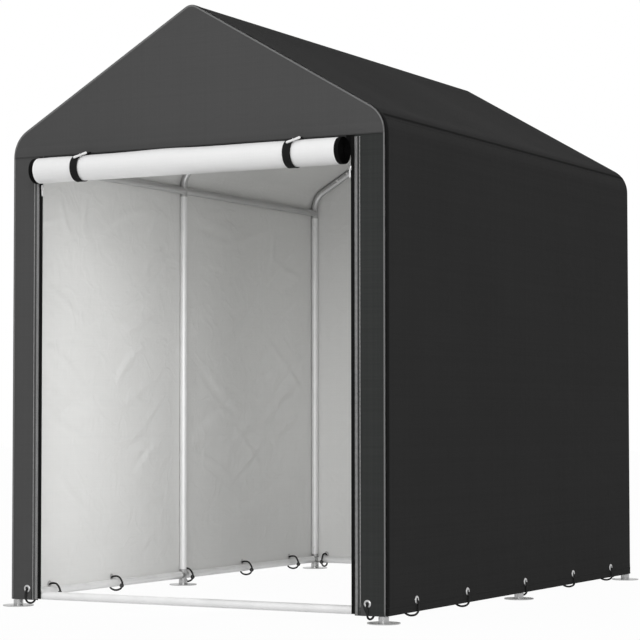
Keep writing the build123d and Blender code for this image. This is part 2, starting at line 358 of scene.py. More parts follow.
def tinted(tree, dark, light, share):
    """Colour between two shades, by a share from 0 to 1."""
    shades = {"A": (*dark, 1), "B": (*light, 1), "Factor": share}
    return add_node(tree, "ShaderNodeMix", shades, data_type="RGBA").outputs["Result"]


def raised(tree, height, distance, normal=None):
    """Bump node that turns a height into a normal, over an earlier normal if one is given."""
    inputs = {"Height": height, "Distance": distance}
    if normal is not None:
        inputs["Normal"] = normal
    return add_node(tree, "ShaderNodeBump", inputs).outputs["Normal"]


# %% [markdown]
# The cover is polyethylene sheeting woven from flat tapes about 2.6 mm wide and coated on both
# sides. Each tape has its own slight shade, and it goes over and under the tapes that cross it.
# The weave could be an image, but two rows of waves and a chequer give it at any scale.


# %% The weave of flat tapes
def tape_weave():
    """Group: over and under heights of a plain weave, and a shade for each tape.

    A tape's height is the absolute sine of its own coordinate. The chequer, the sum of both
    whole numbers modulo 2, says which of the two tapes lies on top."""
    tree, given, result = new_group(
        "tape_weave", {"Place": "vector", "Tape": "number"}, {"Height": "number", "Shade": "number"})
    size = number(tree, "DIVIDE", 1.0, given["Tape"])
    scaled = add_node(tree, "ShaderNodeVectorMath", {0: given["Place"], "Scale": size},
                      operation="SCALE").outputs[0]
    place = add_node(tree, "ShaderNodeSeparateXYZ", {"Vector": scaled}).outputs
    whole = [number(tree, "FLOOR", place[axis]) for axis in "XY"]
    turns = [number(tree, "MULTIPLY", place[axis], math.pi) for axis in "XY"]
    wave = [number(tree, "ABSOLUTE", number(tree, "SINE", turn)) for turn in turns]
    on_top = number(tree, "FLOORED_MODULO", number(tree, "ADD", *whole), 2.0)
    shades = [add_node(tree, "ShaderNodeTexWhiteNoise", {"W": number(tree, "ADD", value, offset)},
                       noise_dimensions="1D").outputs["Value"]
              for value, offset in zip(whole, (0.31, 200.73))]
    for pair, label in ((wave, "Height"), (shades, "Shade")):
        over = number(tree, "MULTIPLY", pair[0], on_top)
        under = number(tree, "MULTIPLY", pair[1], number(tree, "SUBTRACT", 1.0, on_top))
        tree.links.new(number(tree, "ADD", over, under), result[label])
    return tree


weave_group = tape_weave()
print("sockets of the weave:", [item.name for item in weave_group.interface.items_tree])

# %% [markdown]
# Sheeting that was folded for its packing keeps faint creases all over. They are too small and
# too many to model, so they are a bump, high where soft noise crosses its middle value.


# %% Faint creases
def crumple():
    """Group: height of soft creases, where stretched noise comes near its middle value."""
    tree, given, result = new_group(
        "crumple", {"Place": "vector", "Size": "number"}, {"Height": "number"})
    size = number(tree, "DIVIDE", 1.0, given["Size"])
    wide = noise(tree, given["Place"], size, 2.0, 0.8)
    fine = noise(tree, given["Place"], number(tree, "MULTIPLY", size, 3.1), 1.0, 0.4)
    crease = faded(tree, middle_distance(tree, wide), 0.0, 0.12, 1.0, 0.0)
    tree.links.new(weighted(tree, (crease, 0.5), (fine, 0.5)), result["Height"])
    return tree


crumple_group = crumple()
print("sockets of the creases:", [item.name for item in crumple_group.interface.items_tree])

# %% [markdown]
# One function mixes both into a finish, and each sheet has its own grey, relief and gloss. The
# lining is smoother and shinier than the outside, whose coating is dull. The outside is one cloth:
# its grey is painted lighter on the front, as painted light, and darker on the roof and the right
# strip, as painted shade.

# %% Finishes of the cloth
crease_size = 0.11
cloud_scale = 2.3


def coated_cloth(name, colour, contrast, tape=0.0026, relief=0.00010, crease=0.0008, roughness=0.85,
                 gloss=0.02):
    """Coated woven sheeting: tape shades, weave relief and soft creases on the piece's own UV."""
    finish, tree, shader = new_finish(name, specular_ior_level=gloss)
    place = cloth_place(tree)
    weave = place_group(tree, weave_group, {"Place": place, "Tape": tape})
    folds = place_group(tree, crumple_group, {"Place": place, "Size": crease_size})
    cloud = noise(tree, place, cloud_scale, 3.0)
    share = number(tree, "SUBTRACT", weighted(tree, (weave["Shade"], 0.7), (cloud, 0.6)), 0.15)
    shades = [[value * part for value in colour] for part in (1 - contrast, 1 + contrast)]
    feed(tree, shader, base_color=tinted(tree, *shades, share),
         roughness=faded(tree, weave["Height"], 0.0, 1.0, roughness + 0.06, roughness - 0.04),
         normal=raised(tree, weave["Height"], relief, raised(tree, folds["Height"], crease)))
    return finish


def grey(value, tint=(1.0, 1.0, 1.0)):
    """A grey of one linear value, with a slight tint."""
    return [value * part for part in tint]


# Lit and shaded copies of one cloth: the front's lighter grey is painted light, and the roof's and the
# right strip's darker greys are painted shade.
cover_outside = coated_cloth("cover_outside", grey(0.029), 0.10)
roof_cloth_shaded = coated_cloth("roof_cloth_shaded", grey(0.024), 0.10)
front_cloth_lit = coated_cloth("front_cloth_lit", grey(0.073), 0.05)
strip_cloth_shaded = coated_cloth("strip_cloth_shaded", grey(0.037, (0.97, 1.02, 1.0)), 0.16, relief=0.0001)
lining = coated_cloth("lining", grey(0.74, (1.0, 1.0, 0.985)), 0.02, crease=0.0012,
                      roughness=0.45, gloss=0.3)
door_lining = coated_cloth("door_lining", grey(0.79), 0.015, crease=0.0006,
                           roughness=0.45, gloss=0.3)
print("cloth finishes:", len(bpy.data.materials))

# %% [markdown]
# Straps, zip tapes and thread are woven or twisted from black yarn. Ribs across a band and a
# slanting braid round a cord are both waves on the piece's UV, so one group serves them all.


# %% Yarn, braid and webbing
def yarn_ribs():
    """Group: slanting ribs, the product of two sine waves of u + v and u - v."""
    tree, given, result = new_group(
        "yarn_ribs", {"Place": "vector", "Along": "number", "Across": "number"}, {"Height": "number"})
    place = add_node(tree, "ShaderNodeSeparateXYZ", {"Vector": given["Place"]}).outputs
    u = number(tree, "DIVIDE", place["X"], given["Along"])
    v = number(tree, "DIVIDE", place["Y"], given["Across"])
    waves = [number(tree, "SINE", number(tree, "MULTIPLY", number(tree, step, u, v), math.pi))
             for step in ("ADD", "SUBTRACT")]
    half = number(tree, "MULTIPLY", number(tree, "MULTIPLY", *waves), 0.5)
    tree.links.new(number(tree, "ADD", half, 0.5), result["Height"])
    return tree


yarn_group = yarn_ribs()
yarn_gloss = 0.06


def yarn(name, dark, light, along, across, relief, roughness=0.75):
    """Woven or braided yarn on the piece's UV."""
    finish, tree, shader = new_finish(name, roughness=roughness, specular_ior_level=yarn_gloss)
    place = cloth_place(tree)
    ribs = place_group(tree, yarn_group, {"Place": place, "Along": along, "Across": across})
    feed(tree, shader, base_color=tinted(tree, dark, light, ribs["Height"]),
         normal=raised(tree, ribs["Height"], relief))
    return finish


webbing = yarn("webbing", grey(0.006), grey(0.020), 0.0021, 0.0016, 0.0003)
zip_tape = yarn("zip_tape", grey(0.001), grey(0.005), 0.0010, 0.0010, 0.0001)
elastic = yarn("elastic", grey(0.014), grey(0.042), 0.0024, 0.0019, 0.0003)
dark_thread = yarn("dark_thread", grey(0.018), grey(0.05), 0.0012, 0.0010, 0.0001)
white_cord = yarn("white_cord", grey(0.70), grey(0.86), 0.0020, 0.0016, 0.0002, 0.6)
print("finishes so far:", len(bpy.data.materials))


# %% [markdown]
# Metal and moulded pieces are seen only a few pixels wide, but from near by they need their own
# grain: an even peel on powder coat, spangles on zinc, and fine scuffs where hands plug the tubes.


# %% Scuffs
def scuffs():
    """Group: thin broken scratches, where stretched noise comes near its middle value."""
    tree, given, result = new_group("scuffs", {"Place": "vector", "Size": "number"}, {"Mask": "number"})
    stretched = {"Vector": given["Place"], "Scale": (1.0, 1.0, 0.12)}
    place = add_node(tree, "ShaderNodeMapping", stretched).outputs[0]
    line = noise(tree, place, number(tree, "DIVIDE", 1.0, given["Size"]), 4.0, 0.5)
    thin = faded(tree, middle_distance(tree, line), 0.0, 0.02, 1.0, 0.0)
    where = faded(tree, noise(tree, given["Place"], 9.0), 0.5, 0.65)
    tree.links.new(number(tree, "MULTIPLY", thin, where), result["Mask"])
    return tree


scuff_group = scuffs()
print("sockets of the scuffs:", [item.name for item in scuff_group.interface.items_tree])

# %% [markdown]
# The tubes are painted a pale grey and shine softly, the feet are zinc and the eyelets plated.
# The tubes under the roof are darker, partly because less of the pale floor is mirrored in them
# and partly from a darker grey painted on them as shade.

# %% Finishes of metal and plastic
scuff_size = 0.03
scuff_shine = 0.02
peel_scale, spangle_scale, patch_scale = 900.0, 160.0, 14.0
grain_scale, stain_scale = 1500.0, 60.0


def steel(name, colour, metallic, roughness, spangle=0.0, peel=0.00002, coat=0.0):
    """Coated or plated steel: a fine peel, spangles if any, and scuffs that shine more."""
    finish, tree, shader = new_finish(name, metallic=metallic, coat_weight=coat, coat_roughness=0.15)
    place = object_place(tree)
    grain = noise(tree, place, peel_scale)
    cells = add_node(tree, "ShaderNodeTexVoronoi", {"Vector": place, "Scale": spangle_scale})
    cell = add_node(tree, "ShaderNodeSeparateColor", {"Color": cells.outputs["Color"]}).outputs[0]
    marks = place_group(tree, scuff_group, {"Place": place, "Size": scuff_size})["Mask"]
    cloud = noise(tree, place, patch_scale, 3.0)
    share = weighted(tree, (cell, spangle), (cloud, 1.0 - spangle))
    shades = [[min(1.0, value * part) for value in colour] for part in (0.88, 1.10)]
    rough = faded(tree, share, 0.2, 0.8, roughness, roughness + 0.08)
    feed(tree, shader, base_color=tinted(tree, *shades, share),
         roughness=weighted(tree, (rough, 1.0), (marks, -scuff_shine)),
         normal=raised(tree, grain, peel))
    return finish


def moulded(name, colour, roughness):
    """Moulded plastic or rubber with a fine grain."""
    finish, tree, shader = new_finish(name)
    place = object_place(tree)
    grain = noise(tree, place, grain_scale)
    cloud = noise(tree, place, stain_scale)
    dark = [value * 0.9 for value in colour]
    feed(tree, shader, base_color=tinted(tree, dark, colour, cloud),
         roughness=faded(tree, cloud, 0.3, 0.7, roughness, roughness + 0.1),
         normal=raised(tree, grain, 0.00003))
    return finish


tube_paint = steel("tube_paint", grey(0.82), 0.30, 0.44)
# The tubes' paint again, with a darker grey: painted shade for the tubes under the roof.
upper_paint_shaded = steel("upper_paint_shaded", grey(0.50), 0.60, 0.34, coat=0.05)
foot_zinc = steel("foot_zinc", grey(0.42), 0.85, 0.24, spangle=0.1)
eyelet_plate = steel("eyelet_plate", grey(0.50), 1.0, 0.26)
pull_metal = steel("pull_metal", grey(0.62), 0.7, 0.30)
ball_plastic = moulded("ball_plastic", grey(0.015), 0.35)
toggle_plastic = moulded("toggle_plastic", grey(0.80), 0.35)
zip_plastic = moulded("zip_plastic", grey(0.38), 0.40)
print("finishes so far:", len(bpy.data.materials))

# %% [markdown]
# ## The cover
#
# The walls and the roof are cloth panels, sewn together along the middle of the rounded eaves and
# stretched over the frame. A plain bent sheet would look like a metal hut. Real sheeting sags a
# little between the tubes and keeps soft creases from its packing, but lies still on each tube.
# So a panel is a function of s, the way along the section, and y: the section's point plus a
# small lift along its normal, which fades to nothing near every tube and seam.

# %% The section of the cover
ridge_corner = eave_height + half_width * math.tan(roof_pitch)
section_corners = [
    (-half_width, hem), (-half_width, eave_height), (0.0, ridge_corner),
    (half_width, eave_height), (half_width, hem),
]
section = rounded_path(section_corners, (eave_radius, ridge_radius, eave_radius), 0.002)
section_along = lengths_along(section)
section_length = section_along[-1]
bend_start = eave_height - hem - eave_radius * math.tan(math.radians(30.0))
eave_seam = bend_start + eave_radius * math.radians(30.0)
section_heading = headings(section)
section_normal = np.stack([-section_heading[:, 1], section_heading[:, 0]], -1)
print(f"the section is {section_length:.3f} m round, and its eave seam lies {eave_seam:.3f} m up it")


def on_section(values, along):
    """A value of the section, such as its point or normal, at any distance along it."""
    return np.stack([np.interp(along, section_along, values[:, i]) for i in range(2)], -1)


# %% [markdown]
# Packed sheeting keeps folds of two kinds: many soft ones that nobody would count, drawn at
# random from a fixed seed, and a few sharp creases with a place of their own.

# %% Folds that fade near tubes
def smooth_step(value, low, high):
    """0 below low, 1 above high, and 3t^2 - 2t^3 between them."""
    share = np.clip((value - low) / (high - low), 0, 1)
    return share * share * (3 - 2 * share)


def clear_of(value, places, near, far):
    """0 close to any of the places, 1 well away from all of them."""
    distance = np.min([np.abs(value - place) for place in places], axis=0)
    return smooth_step(distance, near, far)


fold_lean, fold_length, fold_width = (50.0, 85.0), (0.06, 0.20), (0.008, 0.020)


def soft_folds(a, b, seed, count, span, height):
    """Sum of soft folds: a bell across each fold, a wider trough beside it, a bell along it.

    Each fold lies on a slightly bent line that leans by a few degrees from level."""
    draw = np.random.default_rng(seed)
    total = np.zeros_like(a)
    for _ in range(count):
        centre_a, centre_b = draw.uniform(span[0], span[1]), draw.uniform(span[2], span[3])
        angle = math.radians(draw.uniform(*fold_lean)) * draw.choice((-1, 1), p=(0.25, 0.75))
        length, width = draw.uniform(*fold_length), draw.uniform(*fold_width)
        size = height * draw.uniform(0.4, 1.0) * draw.choice((-1, 1))
        bend = draw.uniform(-1.2, 1.2)
        da, db = a - centre_a, b - centre_b
        along = da * math.cos(angle) + db * math.sin(angle)
        over = -da * math.sin(angle) + db * math.cos(angle) + bend * along**2
        bell = np.exp(-(over / width) ** 2) - 0.55 * np.exp(-((over - 2 * width) / (2.2 * width)) ** 2)
        total += size * bell * np.exp(-(along / length) ** 2)
    return total


def slow_waves(a, b, seed, height, count=7, waves=(0.25, 0.8)):
    """Sum of a few long sine waves in different directions."""
    draw = np.random.default_rng(seed)
    total = np.zeros_like(a)
    for _ in range(count):
        angle, wave, start = draw.uniform(0, math.pi), draw.uniform(*waves), draw.uniform(0, 2 * math.pi)
        total += np.sin(2 * math.pi * (a * math.cos(angle) + b * math.sin(angle)) / wave + start)
    return height * total / count


crease_bend = 0.08


def creases(s, y, lines):
    """Sum of sharp creases, each a bell across a line from (s, y) to (s, y) that fades at its ends.

    The line is bent a little: crease_bend of its length at its middle, by a parabola."""
    total = np.zeros_like(s)
    for (s_from, y_from), (s_to, y_to), height, width in lines:
        length = math.hypot(s_to - s_from, y_to - y_from)
        way_s, way_y = (s_to - s_from) / length, (y_to - y_from) / length
        along = ((s - s_from) * way_s + (y - y_from) * way_y) / length
        over = ((y - y_from) * way_s - (s - s_from) * way_y
                + crease_bend * length * 4 * along * (1 - along))
        ends = smooth_step(along, -0.15, 0.2) * (1 - smooth_step(along, 0.8, 1.15))
        total += height * np.exp(-(over / width) ** 2) * ends
    return total


# %% [markdown]
# The Solidify modifier gives each sheet its thickness inward and puts the white lining on the
# inner side. A hem is the same cloth folded over, so there the sheet stands a little proud.

# %% Thickness and hems
cloth_thickness = 0.0012
grid_step = 0.0095
edge_inset = 0.003         # the panels end inside the piping
hem_width = 0.028
hem_lift = 0.0007
hem_step = 0.004
roof_sag = 0.006
tube_near, tube_far = 0.016, 0.14
y_start, y_end = front + edge_inset, back - edge_inset


def thicken(piece, rim=0):
    """Gives a cloth piece its thickness, inward, with the finish after its own on the inner side.

    Its open edges are marked sharp, so that the cloth's shading doesn't run over its rim."""
    edge_of_corner = np.empty(len(piece.data.loops), int)
    piece.data.loops.foreach_get("edge_index", edge_of_corner)
    uses = np.bincount(edge_of_corner, minlength=len(piece.data.edges))
    piece.data.edges.foreach_set("use_edge_sharp", uses == 1)
    wall = piece.modifiers.new("thickness", "SOLIDIFY")
    wall.thickness = cloth_thickness
    wall.offset = -1.0
    wall.use_even_offset = False
    wall.material_offset = 1
    wall.material_offset_rim = rim
    return piece


def hem_fold(distance):
    """Lift of a folded hem: hem_lift up to hem_width from the edge, then a short step down."""
    return hem_lift * (1 - smooth_step(distance, hem_width - hem_step, hem_width + hem_step))


# %% [markdown]
# A wall or roof panel is cut from the section between two distances along it. Between two frames
# the roof sags a little, most in the middle of the bay.


# %% A panel between two distances
def bay_share(y):
    """Share of the way from one frame to the next, 0 to 1 in each bay."""
    length = frame_y[1] - frame_y[0]
    return ((y - frame_y[0]) / length) % 1.0


def cover_panel(name, start, end, rails, seed, fold_height, wave_height, sag, finishes, folds=70,
                sharp=()):
    """Panel of the cover between two distances along the section.

    Its point is section(s) + normal(s) * lift(s, y); lift is folds, waves and sag, times a
    share that is 0 on tubes and seams, plus the hem's own thickness at an outer edge."""
    rows = math.ceil((end - start) / grid_step) + 1
    columns = math.ceil((y_end - y_start) / grid_step) + 1
    s, y = np.meshgrid(np.linspace(start, end, rows), np.linspace(y_start, y_end, columns),
                       indexing="ij")
    loose = clear_of(y, frame_y, tube_near, tube_far) * clear_of(s, rails, tube_near, tube_far)
    span = (start, end, y_start, y_end)
    lift = (soft_folds(s, y, seed, folds, span, fold_height) + creases(s, y, sharp)
            + slow_waves(s, y, seed + 1, wave_height)
            - sag * np.sin(math.pi * bay_share(y)) ** 2) * loose
    lift += hem_fold(np.minimum(s, section_length - s))
    point, normal = on_section(section, s), on_section(section_normal, s)
    place = point + normal * lift[..., None]
    points = joined(place[..., 0], y, place[..., 1])
    piece = make_piece(name, [patch(points, joined(y, s))], finishes, closed=False)
    return thicken(piece, rim=1)


# %% [markdown]
# The left wall is the one that the open door shows, so it has the most folds, and its creases
# have their places.

# %% Cut the wall and roof panels
bottom_rail_s = bottom_rail_z - hem
eave_rail_s = eave_rail_z - hem
wall_rails = [0.0, bottom_rail_s, eave_rail_s, eave_seam]
left_creases = [           # from (s, y), to (s, y), height, width
    ((1.190, -0.179), (1.306, -0.054), -0.0050, 0.011),
    ((1.060, -0.211), (1.138, -0.088), -0.0040, 0.011),
    ((0.682, -0.372), (0.813, -0.189), -0.0050, 0.016),
    ((1.131, -0.089), (1.127, 0.010), 0.0030, 0.010),
    ((1.148, 0.668), (1.330, 0.722), -0.0045, 0.012),
    ((1.153, -0.645), (1.262, -0.702), -0.0040, 0.012),
    ((1.192, -0.567), (1.310, -0.533), -0.0040, 0.013),
]
left_cover = cover_panel(
    "left_wall_cloth", 0.0, eave_seam, wall_rails, 11, 0.0042, 0.0035, 0.0,
    [cover_outside, lining], folds=95, sharp=left_creases)
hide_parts("left_wall")
right_cover = cover_panel(
    "right_wall_cloth", section_length - eave_seam, section_length,
    [section_length - value for value in wall_rails], 23, 0.0007, 0.0016, 0.0,
    [cover_outside, lining])
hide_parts("right_wall")
roof_cloth = cover_panel(
    "roof_cloth", eave_seam, section_length - eave_seam,
    [eave_seam, section_length / 2, section_length - eave_seam], 37, 0.0010, 0.0022, roof_sag,
    [roof_cloth_shaded, lining], folds=60)
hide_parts("roof_cover")

# %% [markdown]
# ## Back wall, gable and the strips beside the doorway
#
# These panels lie in upright planes. The back wall and the gable are cut to the section: their
# columns stand at the x of each point of the outline, and each column runs from the lower edge
# up to the outline. The strips are plain rectangles with a little slack beside the zip.

# %% Cut the upright panels
outline_inset = 0.002
lap = 0.0005               # the gable's lower hem reaches over the strips
gable_lift = 0.0006


def upright_panel(name, y, facing, bottom, seed, heights, finishes):
    """Panel under the section's outline: point (x, y + lift, bottom + v * (outline(x) - bottom))."""
    keep = (section[:, 1] > bottom + 0.001) & (section[:, 1] >= seam - 0.0005)
    top = resampled(section[keep] - section_normal[keep] * outline_inset, grid_step)
    rows = math.ceil((ridge_top - bottom) / grid_step)
    share = np.linspace(0, 1, rows)[:, None]
    x = np.broadcast_to(top[:, 0], (rows, len(top)))
    z = bottom + share * (top[:, 1] - bottom)
    edge = np.minimum.reduce([half_width - np.abs(x), (top[:, 1] - z), z - bottom + 0.02])
    loose = smooth_step(edge, 0.03, 0.16)
    span = (x.min(), x.max(), bottom, ridge_top)
    lift = soft_folds(x, z, seed, 60, span, heights[0]) + slow_waves(x, z, seed + 1, heights[1])
    lift = lift * loose + hem_fold(z - bottom)
    points, uv = joined(x, y + facing * lift, z)[::-1], joined(x, z)[::-1]
    if facing > 0:
        points, uv = points[:, ::-1], uv[:, ::-1]
    return thicken(make_piece(name, [patch(points, uv)], finishes, closed=False))


gable = upright_panel("gable_cloth", front - gable_lift, -1, seam - lap, 51, (0.0004, 0.0008),
                      [front_cloth_lit, lining])
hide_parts("front_gable")
back_panel = upright_panel("back_cloth", back, 1, hem, 63, (0.0024, 0.0030),
                           [cover_outside, lining])
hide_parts("back_wall")

# %% [markdown]
# Low down beside the zip, each strip has a small fold, where its loose corner was turned under
# the hem. It shows as a sharp slanting line that ends in a point. The fold is a step in the
# strip's lift on one side of that line, so it throws a real shadow.

# %% Cut the strips
strip_columns, strip_row = 37, 0.0075
strip_lap = 0.004          # the strips run up behind the gable
slack_height, slack_width = 0.0016, 0.03
fold_top = 0.075
fold_foot, fold_reach = 0.012, 0.020
fold_lift = 0.0016
fold_edge = 0.0015


def front_strip(side_name, side, finish):
    """Strip beside the doorway: (side * x, front + lift, z), with a folded corner at its foot."""
    x_values = np.linspace(strip_edge - 0.001, half_width - edge_inset, strip_columns)
    z_values = np.linspace(hem, seam + strip_lap, math.ceil((seam - hem) / strip_row))
    x, z = np.meshgrid(x_values, z_values, indexing="ij")
    slack = slack_height * np.exp(-((x - strip_edge - slack_width) / slack_width) ** 2)
    lift = slack * (1 + np.sin(z * 7.3 + side) * 0.6 + np.sin(z * 17.0 + 2 * side) * 0.3)
    lift *= smooth_step(seam - z, 0.002, 0.05)
    rise = np.clip((fold_top + hem - z) / fold_top, 0, 1)
    line = strip_edge + fold_foot + fold_reach * rise
    folded = smooth_step(line - x, -fold_edge, fold_edge) * smooth_step(x, strip_edge, line)
    lift += fold_lift * rise * folded + hem_fold(z - hem)
    points = joined(side * x, front + cloth_thickness - lift, z)
    piece = make_piece(f"{side_name}_strip_cloth", [patch(points[::side], joined(x, z)[::side])],
                       [finish, lining], closed=False)
    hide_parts(f"{side_name}_front_strip")
    thicken(piece)


front_strip("left", -1, front_cloth_lit)
front_strip("right", 1, strip_cloth_shaded)

# %% [markdown]
# ## Piping
#
# A thin welt is sewn into the corner between the front and the sides, and another round the
# back. It is a tube carried along the section. The front welt is painted a lighter grey than
# the cloth, a painted highlight that makes its line of light all the way.

# %% Sew in the piping
piping_radius = 0.0023
piping_inset = 0.0016
piping_set_back = 0.0006
# The black band behind the front piping is painted shade of the groove there, drawn as a tape in the zip
# tape's near-black finish.
shadow_band_width = 0.0230
shadow_band_lift = 0.0008
shadow_band_set_back = 0.0004
# The dark band along each eave is painted shade where the cloth turns over the bend, drawn as a narrow
# tape.
eave_shade_width = 0.0110
eave_shade_lift = 0.0006
eave_shade_offset = 0.0110   # from the seam's middle up the roof
eave_shade_cloth = coated_cloth("eave_shade_cloth", grey(0.011), 0.10, relief=0.00003)
# The front piping's lighter grey is a painted highlight.
piping_lit_cloth = coated_cloth("piping_lit_cloth", grey(0.18), 0.06, relief=0.00005, crease=0.0002)


def piping(y):
    """Tube along the section, set in from it so that only its outer half stands proud."""
    inner = section - section_normal * (piping_radius + piping_inset)
    line = resampled(joined(inner[:, 0], y, inner[:, 1]), 0.006)
    ends = np.concatenate([[0.2, 0.7], np.ones(len(line) - 4), [0.7, 0.2]])
    return [tube(line, ends * piping_radius, 10)]


def shadow_band(y):
    """Black band along the section, wide along Y, whose two edges dip down to the cloth: painted shade
    of the groove behind the piping.
    """
    across = np.array([-0.5, -0.47, -0.25, 0.0, 0.25, 0.47, 0.5]) * shadow_band_width
    lift = np.array([-0.5, 0.8, 1.0, 1.0, 1.0, 0.8, -0.5]) * shadow_band_lift
    s = np.linspace(0.001, section_length - 0.001, 560)
    point, normal = on_section(section, s), on_section(section_normal, s)
    place = point[:, None, :] + normal[:, None, :] * lift[None, :, None]
    return patch(joined(place[..., 0], y + across, place[..., 1]), joined(s[:, None], across))


def eave_shade_band(seam_s):
    """Narrow dark band along Y, near a seam of the section, its edges dipping into the cloth: painted
    shade where the cloth turns over the eave.
    """
    across = np.array([-0.5, -0.4, -0.2, 0.0, 0.2, 0.4, 0.5]) * eave_shade_width
    lift = np.array([-0.6, 0.5, 0.9, 1.0, 0.9, 0.5, -0.6]) * eave_shade_lift
    y = np.linspace(y_start + 0.02, y_end, 220)[:, None]
    point, normal = on_section(section, seam_s + across), on_section(section_normal, seam_s + across)
    place = point + normal * lift[:, None]
    return patch(joined(place[:, 0], y, place[:, 1]), joined(y, across))


make_piece("front_piping", piping(front + piping_set_back), [piping_lit_cloth])
make_piece("back_piping", piping(back - piping_set_back), [cover_outside])
make_piece("front_shadow_band", [shadow_band(front + shadow_band_set_back + shadow_band_width / 2)], [zip_tape],
           closed=False)
shade_band_s = eave_seam + eave_shade_offset
make_piece("eave_shade_bands", [eave_shade_band(shade_band_s), eave_shade_band(section_length - shade_band_s)], [eave_shade_cloth],
           closed=False)

# %% [markdown]
# ## The rolled door
#
# The door hangs from the gable's seam, behind the roll, and winds inward under and over it. So
# it is one strip of cloth on a spiral: straight down from the seam, then round with a radius
# that shrinks by one pitch a turn. The pitch follows from the door's length, since the turns
# together hold the whole door. A cylinder would be simpler, but its ends would look solid.

# %% Wind the door
roll_low, roll_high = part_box("door_roll")
roll_radius = 0.040
core_radius = 0.006
roll_y, roll_z = roll_low.y + roll_radius, roll_low.z + roll_radius
door_length = seam - hem
door_half = roll_high.x
tape_band = 0.0145
tape_swell = 0.0007        # the band is this much thicker for the tape that is wound in
seam_y = front + 0.002
to_seam = np.array([seam_y - roll_y, seam - roll_z])
leaf_lean = math.acos(roll_radius / np.hypot(*to_seam)) - math.atan2(to_seam[1], to_seam[0])
leaf_length = math.sqrt(to_seam @ to_seam - roll_radius**2)
roll_pitch = math.pi * (roll_radius**2 - core_radius**2) / (door_length - leaf_length)
roll_turns = (roll_radius - core_radius) / roll_pitch
strap_width = 0.027
strap_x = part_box("door_straps")[1].x - strap_width / 2
print(f"the door makes {roll_turns:.1f} turns, {1000 * roll_pitch:.1f} mm apart")


def rolled_door():
    """Spiral sheet: angle t from the rear, radius R - pitch * t / (2 pi), along the whole width.

    Straps press it in, it swells between them, and the zip tape makes a thicker band at each
    end. The four columns of faces in each end band take the tape's finish."""
    drop = np.linspace(1, 0, 5)[:-1, None]
    turn = np.arange(0, 2 * math.pi * roll_turns, math.radians(11.0))[:, None]
    edges = np.array([0, 0.003, 0.006, 0.010, tape_band])
    inner = np.linspace(tape_band, 2 * door_half - tape_band, 79)[1:-1]
    x = np.concatenate([edges, inner, 2 * door_half - edges[::-1]])[None, :] - door_half
    rest = np.exp(-((np.abs(x) - strap_x) / 0.024) ** 2)
    to_end = door_half - np.abs(x)
    swell = 0.0010 * np.sin(2.7 * x + 0.7) ** 2 * (1 - rest) * smooth_step(to_end, 0.0, 0.08)
    outer = np.exp(-(turn / (2 * math.pi * 1.2)) ** 2)
    ripple = slow_waves(x + 0 * turn, 0.06 * turn + 0 * x, 77, 0.0008, 9, (0.09, 0.35)) * (1 - rest)
    band = tape_swell * (1 - smooth_step(to_end, tape_band - 0.004, tape_band))
    radius = (roll_radius - roll_pitch * turn / (2 * math.pi)
              + outer * smooth_step(turn, 0.0, 0.9) * (swell + ripple) + band - 0.0008 * rest * outer)
    bulge = 0.0010 + 0.0026 * np.exp(-((x + 0.07) / 0.11) ** 2)
    radius = radius + bulge * np.exp(-((turn - 1.5 * math.pi) / 0.8) ** 2) * (1 - rest)
    angle = -leaf_lean - turn
    spiral_y = roll_y + radius * np.cos(angle)
    spiral_z = roll_z + radius * np.sin(angle)
    leaf_y = spiral_y[:1] + drop * leaf_length * math.sin(leaf_lean)
    leaf_z = spiral_z[:1] + drop * leaf_length * math.cos(leaf_lean)
    y, z = np.vstack([leaf_y, spiral_y]), np.vstack([leaf_z, spiral_z])
    way = np.vstack([-drop * leaf_length, turn * roll_radius * 0.6])
    columns = np.arange(x.size - 1)
    finish = np.where((columns < 4) | (columns >= x.size - 5), 2, 0)
    sheet = patch(joined(x, y, z)[::-1], joined(x, way)[::-1], finish=finish)
    piece = make_piece("rolled_door", [sheet],
                       [door_lining, cover_outside, zip_tape, zip_tape], closed=False)
    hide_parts("door_roll")
    thicken(piece)


rolled_door()

# %% [markdown]
# ## Straps and toggles
#
# Two webbing straps hold the roll. Each is sewn behind the seam, comes down behind the door's
# last turn, goes round under the roll and over it back to the gable. A webbing's edges are a
# little thicker than its middle, which a flat box would not show.

# %% Strap the roll
strap_thickness = 0.0016
strap_gap = 0.0003
strap_lift = strap_gap + strap_thickness / 2
strap_bend = roll_radius + strap_lift
strap_end = np.array([front - strap_lift - 0.0006, seam + 0.003])


def strap_line():
    """Strap in the (y, z) plane: down the leaf's line, round the roll and back to the gable."""
    centre = np.array([roll_y, roll_z])
    out = np.array([math.cos(leaf_lean), -math.sin(leaf_lean)])
    up = np.array([math.sin(leaf_lean), math.cos(leaf_lean)])
    meets = centre + out * strap_bend
    tail = meets + up * (seam + 0.010 - meets[1]) / up[1]
    to_end = strap_end - centre
    reach = math.hypot(*to_end)
    leave = math.atan2(to_end[1], to_end[0]) + math.acos(strap_bend / reach)
    angles = np.linspace(-leaf_lean, leave - 2 * math.pi, 40)
    arc = centre + strap_bend * np.stack([np.cos(angles), np.sin(angles)], -1)
    return resampled(np.vstack([tail, arc, strap_end]), 0.0035)


